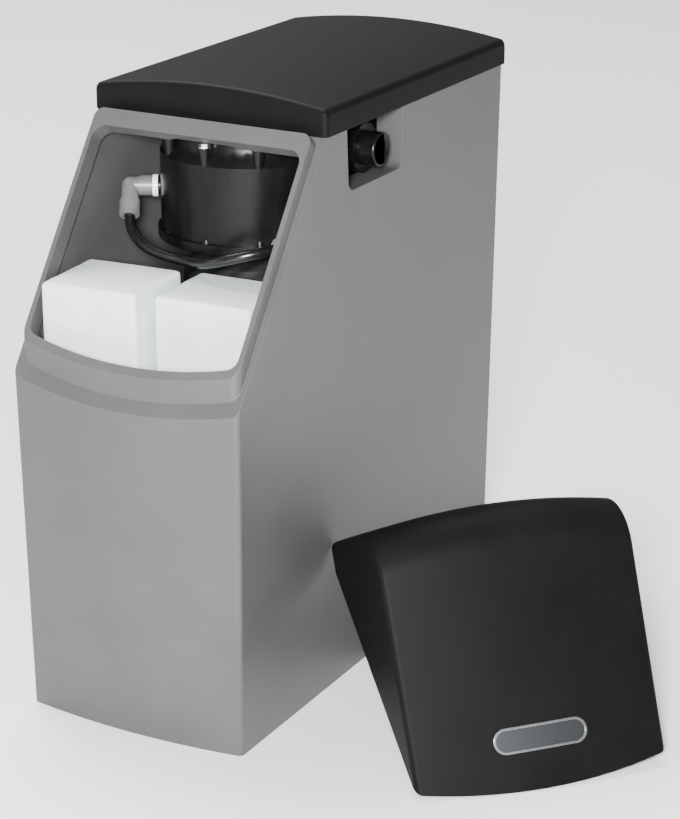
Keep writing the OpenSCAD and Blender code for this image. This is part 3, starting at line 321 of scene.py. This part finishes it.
# %% Wound vessel and resin beads
band_width, bead_width = 40, 0.9
winding = (0.0, math.radians(35), 0.0)
wound_vessel, tree, shader, place = new_finish("wound_glass_fibre")
lean = put(tree, "ShaderNodeMapping", {"Vector": place, "Rotation": winding})
strand = put(tree, "ShaderNodeTexWave", {
    "Vector": lean.outputs[0], "Scale": per_mm(band_width), "Distortion": 1.5, "Detail": 2.0},
    bands_direction="Z")
tint = put(tree, "ShaderNodeValToRGB", {"Fac": strand.outputs["Fac"]})
tint.color_ramp.elements[0].color = paint("#0f0f10")
tint.color_ramp.elements[1].color = paint("#1f1f21")
bump = put(tree, "ShaderNodeBump", {
    "Height": strand.outputs["Fac"], "Strength": 0.2, "Distance": 0.4 * MM})
tree.links.new(tint.outputs["Color"], shader.inputs["Base Color"])
tree.links.new(bump.outputs[0], shader.inputs["Normal"])
shader.inputs["Roughness"].default_value = 0.35

resin_beads, tree, shader, place = new_finish("amber_resin_beads")
bead = put(tree, "ShaderNodeTexVoronoi", {"Vector": place, "Scale": per_mm(bead_width)})
# The colour runs from light amber at each bead's middle to dark brown towards its edge: painted
# shade in the gaps between the beads.
tint = put(tree, "ShaderNodeValToRGB", {"Fac": bead.outputs["Distance"]})
tint.color_ramp.elements[0].color = paint("#c98a3c")
tint.color_ramp.elements[1].color = paint("#7a4716")
bump = put(tree, "ShaderNodeBump", {
    "Height": bead.outputs["Distance"], "Strength": 0.5, "Distance": 0.5 * MM}, invert=True)
tree.links.new(tint.outputs["Color"], shader.inputs["Base Color"])
tree.links.new(bump.outputs[0], shader.inputs["Normal"])
shader.inputs["Roughness"].default_value = 0.3
print("finishes:", wound_vessel.name, resin_beads.name)

# %% [markdown]
# Every solid first gets the finish of its own slot, so that the hidden ones are dressed too.

# %% Finish for every slot
finish_of = {
    "body_moulding": grey_polyethylene, "black_moulding": charcoal, "badge": satin_aluminium,
    "salt": pressed_salt, "valve_plastic": glass_nylon, "steel": zinc_steel,
    "white_plastic": white_acetal, "fitting": grey_polypropylene, "seal_rubber": nitrile_rubber,
    "hose": black_polyethylene, "vessel": wound_vessel, "resin": resin_beads,
}
for name, solid in nodes.items():
    solid.data.materials.clear()
    solid.data.materials.append(finish_of[slot_of[name]])
print("dressed solids:", len(nodes))

# %% [markdown]
# The brine tube is the one flexible piece. It leaves the elbow's collet, hangs in a loop in
# front of the valve and goes into the elbow on the brine well. Points along its middle, in
# millimetres, are eased into a smooth spline, as a springy tube lies, and a curve with a
# round bevel follows it.

# %% Route of the brine tube
tube_points = [
    (-89.66, -92.017, 436.101), (-83.832, -102.531, 424.08), (-77, -110.5, 414),
    (-66, -116.5, 407), (-53, -119.5, 402), (-39.5, -121, 399.5), (-25.5, -121.5, 398),
    (-11.5, -124, 398), (2, -128.5, 399), (15, -134, 402), (28, -137, 406),
    (41.5, -135.5, 410), (54, -130, 413.5), (64.5, -120.5, 415.5),
    (71.397, -108.13, 416), (77.212, -92.156, 416),
]


def eased(points, steps):
    lead, tail = 2 * points[0] - points[1], 2 * points[-1] - points[-2]
    guide = [lead, *points, tail]
    path = []
    for a, b, c, d in zip(guide, guide[1:], guide[2:], guide[3:]):
        for t in (i / steps for i in range(steps)):
            path.append(((1 - t) ** 3 * a + (3 * t ** 3 - 6 * t ** 2 + 4) * b
                         + (-3 * t ** 3 + 3 * t ** 2 + 3 * t + 1) * c + t ** 3 * d) / 6)
    return path + [points[-1]]


route = eased([Vector(p) * MM for p in tube_points], 2)
tube_length = sum((b - a).length for a, b in zip(route, route[1:]))
print("tube length:", round(tube_length, 3))

# %% Brine tube
tube_radius = 4.75 * MM
tube_curve = bpy.data.curves.new("brine_tube_curve", "CURVE")
tube_curve.dimensions = "3D"
tube_curve.bevel_depth = tube_radius
tube_curve.bevel_resolution = 6
tube_curve.use_fill_caps = True
line = tube_curve.splines.new("BEZIER")
line.bezier_points.add(len(route) - 1)
for point, spot in zip(line.bezier_points, route):
    point.co = spot
    point.handle_left_type = point.handle_right_type = "AUTO"
tube_curve.materials.append(black_polyethylene)
tube = bpy.data.objects.new("brine_tube_run", tube_curve)
bpy.context.scene.collection.objects.link(tube)
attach(tube, "cabinet")
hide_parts("brine_tube")
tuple(route[0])
print("tube points:", len(route))

# %% [markdown]
# A moulding never has a razor edge. Each visible solid is copied, its triangles are merged
# into one skin, and a small bevel rounds the edges that are still sharp. Normals are then
# weighted by area, so flat faces stay flat.

# %% Softened copies of the mouldings
def merged_copy(name, piece_name):
    mesh = bpy.data.meshes.new(piece_name)
    work = bmesh.new()
    work.from_mesh(nodes[name].data)
    bmesh.ops.remove_doubles(work, verts=work.verts, dist=0.005 * MM)
    bmesh.ops.dissolve_limit(work, angle_limit=math.radians(0.3),
                             verts=work.verts, edges=work.edges)
    work.to_mesh(mesh)
    work.free()
    piece = bpy.data.objects.new(piece_name, mesh)
    bpy.context.scene.collection.objects.link(piece)
    return piece


def soften(name, piece_name, edge, angle=30, segments=2):
    piece = merged_copy(name, piece_name)
    piece.data.materials.append(finish_of[slot_of[name]])
    piece.data.shade_smooth()
    round_edges = piece.modifiers.new("round_edges", "BEVEL")
    round_edges.width = edge
    round_edges.segments = segments
    round_edges.limit_method = "ANGLE"
    round_edges.angle_limit = math.radians(angle)
    round_edges.use_clamp_overlap = True
    round_edges.miter_outer = "MITER_ARC"
    even = piece.modifiers.new("even_normals", "WEIGHTED_NORMAL")
    even.keep_sharp = True
    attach(piece, body_of[name])
    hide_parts(name)
    return piece


shell = soften("cabinet", "cabinet_moulding", 1.5 * MM, angle=25, segments=4)
lid = soften("top_lid", "lid_moulding", 0.8 * MM, angle=35, segments=3)
cover = soften("hatch_cover", "cover_moulding", 0.8 * MM, angle=35, segments=3)
badge = soften("badge_plate", "bare_badge", 0.25 * MM, angle=35)
print("softened:", shell.name, lid.name, cover.name, badge.name)

# %% [markdown]
# The badge place is one plate with a raised rim. On the real cover the rim is bright and the
# sunk field is dull, so the field is found and given the duller finish. The plate's largest
# smooth face is its back, and the field is the largest face that looks the other way.

# %% Field of the badge
def smooth_regions(work, angle):
    left = set(work.faces)
    while left:
        region = [left.pop()]
        for face in region:
            near = {f for edge in face.edges for f in edge.link_faces if f in left}
            joined = [f for f in near if face.normal.dot(f.normal) > math.cos(angle)]
            left.difference_update(joined)
            region.extend(joined)
        yield region


def area_of(region):
    return sum(face.calc_area() for face in region)


work = bmesh.new()
work.from_mesh(badge.data)
regions = sorted(smooth_regions(work, math.radians(20)), key=area_of, reverse=True)
back = regions[0][0].normal.copy()
field = next(region for region in regions if region[0].normal.dot(back) < -0.5)
for face in field:
    face.material_index = 1
work.to_mesh(badge.data)
print("badge field:", len(field), "faces")
work.free()
badge.data.materials.append(dull_aluminium)

# %% [markdown]
# The valve sections, the ports and the fittings get finer edges, as injection moulding does.

# %% Softened valve and fittings
fine_edges = {
    "valve_cap": 0.6, "valve_ring": 0.6, "valve_base": 0.6, "inlet_port": 0.5, "outlet_port": 0.5,
    "brine_elbow": 0.4, "elbow_collar": 0.4, "elbow_collet": 0.3, "well_elbow": 0.4,
    "well_collet": 0.3, "well_cap": 0.5, "brine_well": 0.4, "regeneration_dial": 0.4,
    "overflow_elbow": 0.4, "overflow_nut": 0.4,
}
for name, edge in fine_edges.items():
    soften(name, name + "_piece", edge * MM)
print("softened valve and fittings:", len(fine_edges))

# %% [markdown]
# A salt block is pressed in a die, and then damp air and brine wear its faces. The block is
# remeshed finely, and each point but those of the underside is set in a little by noise: broad
# hollows and small ones. Every block has noise of its own.

# %% Salt blocks
hollow_width, dent_width = 22, 9


def crumble(name, piece_name, seed):
    piece = merged_copy(name, piece_name)
    remesh = piece.modifiers.new("remesh", "REMESH")
    remesh.mode = "VOXEL"
    remesh.voxel_size = 2 * MM
    bpy.context.view_layer.update()
    depsgraph = bpy.context.evaluated_depsgraph_get()
    fine = bpy.data.meshes.new_from_object(piece.evaluated_get(depsgraph))
    piece.modifiers.clear()
    piece.data = fine
    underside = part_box(name)[0][2] + 1 * MM
    shift = Vector((seed * 3.1, seed * 1.7, seed * 2.3))
    for vertex in fine.vertices:
        p = vertex.co
        wear = 0.5 * noise.noise(p * per_mm(hollow_width) + shift)
        wear += 0.25 * noise.noise(p * per_mm(dent_width) + shift)
        if p.z > underside:
            vertex.co = p - vertex.normal * (0.35 + 0.5 * wear) * MM
    fine.materials.clear()
    fine.materials.append(pressed_salt)
    fine.shade_smooth()
    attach(piece, body_of[name])
    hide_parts(name)
    return piece


for seed, name in enumerate(("salt_block_upper_left", "salt_block_upper_right",
                             "salt_block_lower_left", "salt_block_lower_right"), 1):
    block = crumble(name, name.replace("salt_block", "worn_salt"), seed)
    print("block:", block.name, len(block.data.polygons), "faces")

# %% [markdown]
# The clamping bolts repeat round the valve, so Geometry Nodes place them. The tree's sizes are
# its named inputs. One hexagon head is made with a washer under it and a low dome on top.

# %% Head of one bolt
bolt_sizes = {"Count": 10, "Ring radius": 77.5 * MM, "Head radius": 5 * MM, "Head height": 3.6 * MM}
washer_height = 0.9 * MM
bolt_tree = bpy.data.node_groups.new("bolt_ring", "GeometryNodeTree")
ids = {}
for name, value in bolt_sizes.items():
    kind = "NodeSocketInt" if isinstance(value, int) else "NodeSocketFloat"
    socket = bolt_tree.interface.new_socket(name=name, in_out="INPUT", socket_type=kind)
    socket.default_value = value
    ids[name] = socket.identifier
bolt_tree.interface.new_socket(name="Geometry", in_out="OUTPUT", socket_type="NodeSocketGeometry")

size = put(bolt_tree, "NodeGroupInput").outputs
half = put(bolt_tree, "ShaderNodeMath", {0: size["Head height"], 1: 0.5}, operation="MULTIPLY")
lift = put(bolt_tree, "ShaderNodeCombineXYZ", {"Z": half.outputs[0]})
head = put(bolt_tree, "GeometryNodeMeshCylinder", {
    "Vertices": 6, "Radius": size["Head radius"], "Depth": size["Head height"]})
raised = put(bolt_tree, "GeometryNodeTransform", {
    "Geometry": head.outputs["Mesh"], "Translation": lift.outputs[0]})
wide = put(bolt_tree, "ShaderNodeMath", {0: size["Head radius"], 1: 1.16}, operation="MULTIPLY")
washer = put(bolt_tree, "GeometryNodeMeshCylinder", {
    "Vertices": 28, "Radius": wide.outputs[0], "Depth": washer_height})
seat = put(bolt_tree, "GeometryNodeTransform", {
    "Geometry": washer.outputs["Mesh"], "Translation": (0.0, 0.0, washer_height / 2)})
dome = put(bolt_tree, "GeometryNodeMeshUVSphere", {
    "Segments": 20, "Rings": 8, "Radius": size["Head radius"]})
flat = put(bolt_tree, "GeometryNodeTransform", {
    "Geometry": dome.outputs["Mesh"], "Scale": (0.8, 0.8, 0.22)})
top_lift = put(bolt_tree, "ShaderNodeCombineXYZ", {"Z": size["Head height"]})
crown_top = put(bolt_tree, "GeometryNodeTransform", {
    "Geometry": flat.outputs[0], "Translation": top_lift.outputs[0]})
bolt = put(bolt_tree, "GeometryNodeJoinGeometry")
for part in (raised, seat, crown_top):
    bolt_tree.links.new(part.outputs[0], bolt.inputs[0])
print("bolt inputs:", list(ids))

# %% [markdown]
# The bolt is set on every point of a circle, and the result is made a plain mesh. The first
# bolt stands at the front, as on the valve, and the heads sit in the cap's spot faces.

# %% Ring of bolts
ring = put(bolt_tree, "GeometryNodeMeshCircle", {
    "Vertices": size["Count"], "Radius": size["Ring radius"]})
spread = put(bolt_tree, "GeometryNodeInstanceOnPoints", {
    "Points": ring.outputs["Mesh"], "Instance": bolt.outputs[0]})
real = put(bolt_tree, "GeometryNodeRealizeInstances", {"Geometry": spread.outputs[0]})
dressed = put(bolt_tree, "GeometryNodeSetMaterial", {
    "Geometry": real.outputs[0], "Material": zinc_steel})
put(bolt_tree, "NodeGroupOutput", {"Geometry": dressed.outputs[0]})

bolts = bpy.data.objects.new("clamping_bolts", bpy.data.meshes.new("clamping_bolts"))
bpy.context.scene.collection.objects.link(bolts)
maker = bolts.modifiers.new("bolt_ring", "NODES")
maker.node_group = bolt_tree
for name, value in bolt_sizes.items():
    maker[ids[name]] = value
bpy.context.view_layer.update()
depsgraph = bpy.context.evaluated_depsgraph_get()
bolt_mesh = bpy.data.meshes.new_from_object(bolts.evaluated_get(depsgraph))
bolts.modifiers.clear()
head_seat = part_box("valve_bolts")[1][2] - 4 * MM
valve_axis = Vector((0.0, -31 * MM, head_seat))
bolt_mesh.transform(Matrix.Translation(valve_axis) @ Matrix.Rotation(math.radians(-90), 4, "Z"))
bolts.data = bolt_mesh
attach(bolts, "cabinet")
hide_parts("valve_bolts")
print("bolts:", len(bolts.data.polygons), "faces")

# %% [markdown]
# The floor is plain and pale, and reaches far enough that low views still end on it.

# %% Floor
reach = 40
corners = [(-reach, -reach, 0), (reach, -reach, 0), (reach, reach, 0), (-reach, reach, 0)]
floor_mesh = bpy.data.meshes.new("floor")
floor_mesh.from_pydata(corners, [], [(0, 1, 2, 3)])
floor = bpy.data.objects.new("floor", floor_mesh)
bpy.context.scene.collection.objects.link(floor)
pale_floor = bpy.data.materials.new("pale_painted_floor")
pale_floor.use_nodes = True
shader = pale_floor.node_tree.nodes["Principled BSDF"]
shader.inputs["Base Color"].default_value = paint("#f4f4f4")
shader.inputs["Roughness"].default_value = 0.9
floor_mesh.materials.append(pale_floor)
print("floor:", 2 * reach, "m across")

# %% [markdown]
# One soft light stands just beside the camera, so that it reaches down into the hatch as the
# camera does. A weak one at the left fills the shadows, and a wide one, high at the back,
# brightens the floor. An even pale sky keeps the rest from going black.

# %% Light
world = bpy.data.worlds.new("studio")
bpy.context.scene.world = world
world.use_nodes = True
world.node_tree.nodes["Background"].inputs["Color"].default_value = paint("#ffffff")
world.node_tree.nodes["Background"].inputs["Strength"].default_value = 0.4


def softbox(name, at, target, size, power):
    data = bpy.data.lights.new(name, "AREA")
    data.shape = "DISK"
    data.size = size
    data.energy = power
    lamp = bpy.data.objects.new(name, data)
    lamp.location = at
    lamp.rotation_euler = (Vector(target) - Vector(at)).to_track_quat("-Z", "Y").to_euler()
    bpy.context.scene.collection.objects.link(lamp)


softbox("key", at=(0.92, -1.8, 1.02), target=(0.0, -0.1, 0.3), size=0.35, power=140)
softbox("fill", at=(-1.8, -1.6, 1.0), target=(0.0, 0.0, 0.25), size=1.4, power=8)
softbox("top", at=(-1.9, 1.3, 4.2), target=(-0.6, 1.0, 0.0), size=3.0, power=380)
print("lights:", len(bpy.data.lights))
